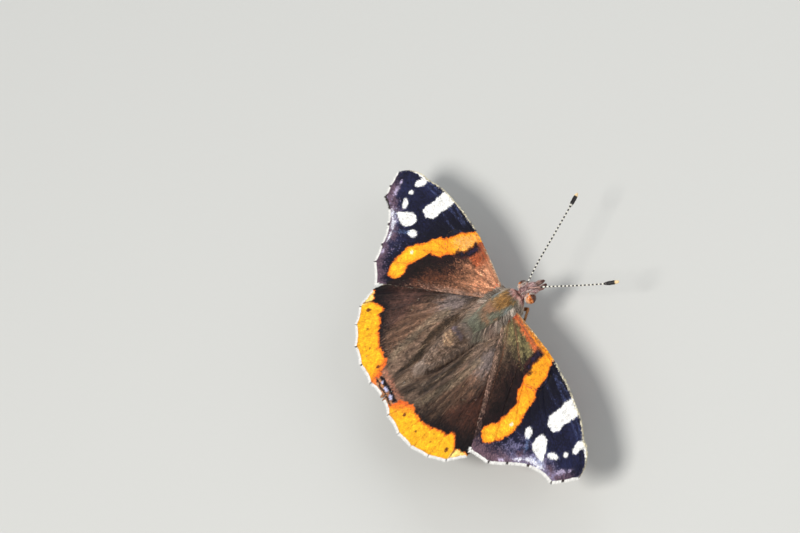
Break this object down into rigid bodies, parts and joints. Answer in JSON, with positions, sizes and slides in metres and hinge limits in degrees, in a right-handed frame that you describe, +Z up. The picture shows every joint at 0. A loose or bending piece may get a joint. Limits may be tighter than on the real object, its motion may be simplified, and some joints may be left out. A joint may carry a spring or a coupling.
{
  "type": "red admiral butterfly",
  "caption": "Life-size museum model of a red admiral butterfly standing on its legs with its wings spread flat.",
  "frame": {"origin": "centre of the footprint, at the level the feet stand on", "axes": "+Z up, the head points to -Y, the insect's own left wings point to +X"},
  "size_m": [0.0672, 0.0404, 0.0097],
  "materials": {
    "wing_scales": "velvety scales: brown and black with an orange-red band, white spots and white fringes",
    "body_fur": "fine brown hair with grey-green sides",
    "head_fur": "short grey and pinkish scales",
    "eye": "glossy, finely faceted, orange-brown",
    "feeler": "black with narrow white rings and pale tips",
    "tongue": "smooth amber-brown",
    "leg": "brown with short scales and fine spines"
  },
  "bodies": {
    "root": {"thorax": "body_fur", "abdomen": "body_fur", "head": "head_fur", "eye_left": "eye", "eye_right": "eye", "antenna_left": "feeler", "antenna_right": "feeler", "palp_left": "head_fur", "palp_right": "head_fur", "tongue": "tongue", "forewing_left": "wing_scales", "forewing_right": "wing_scales", "hindwing_left": "wing_scales", "hindwing_right": "wing_scales", "leg_fore_left": "leg", "leg_fore_right": "leg", "leg_mid_left": "leg", "leg_mid_right": "leg", "leg_hind_left": "leg", "leg_hind_right": "leg"}
  },
  "joints": []
}
